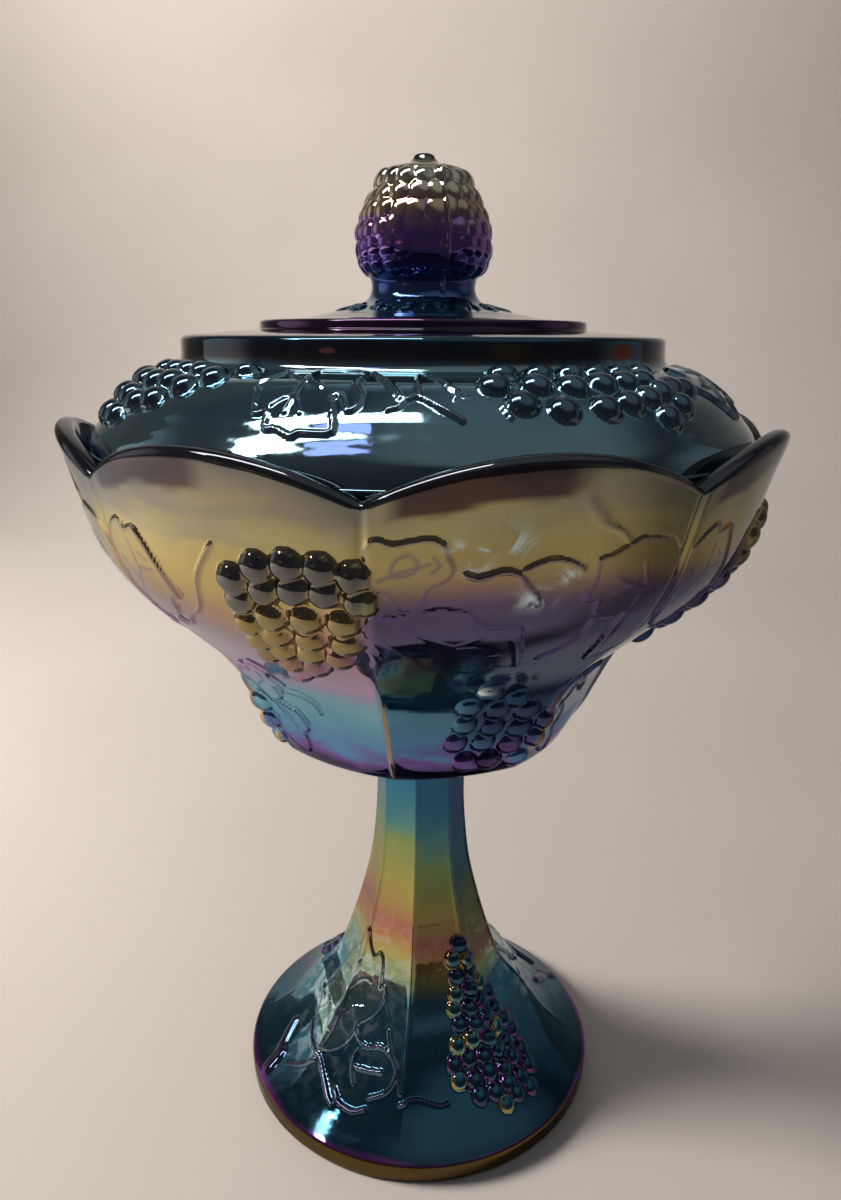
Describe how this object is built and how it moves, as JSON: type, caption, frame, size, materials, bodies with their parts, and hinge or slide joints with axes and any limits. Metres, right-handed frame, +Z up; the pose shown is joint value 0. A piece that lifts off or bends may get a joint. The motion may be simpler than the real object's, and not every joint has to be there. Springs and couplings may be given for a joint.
{
  "type": "covered glass bowl",
  "caption": "Iridescent pressed glass bowl with scalloped rim and faceted pedestal foot, closed by a domed lid with a stepped collar and a knob.",
  "frame": {"origin": "centre of the foot's resting face, on the table", "axes": "+Z up along the stem, -Y towards the viewer, +X to the viewer's right"},
  "size_m": [0.1746, 0.1746, 0.254],
  "materials": {
    "pedestal_glass": "iridescent gloss",
    "bowl_glass": "iridescent gloss",
    "lid_glass": "iridescent gloss"
  },
  "bodies": {
    "compote": {"pedestal": "pedestal_glass", "bowl": "bowl_glass"},
    "lid": {"lid": "lid_glass"}
  },
  "joints": [
    {"name": "lid_lift", "type": "slide", "parent": "compote", "child": "lid", "axis": [0, 0, 1], "range_m": [0, 0.1]}
  ]
}
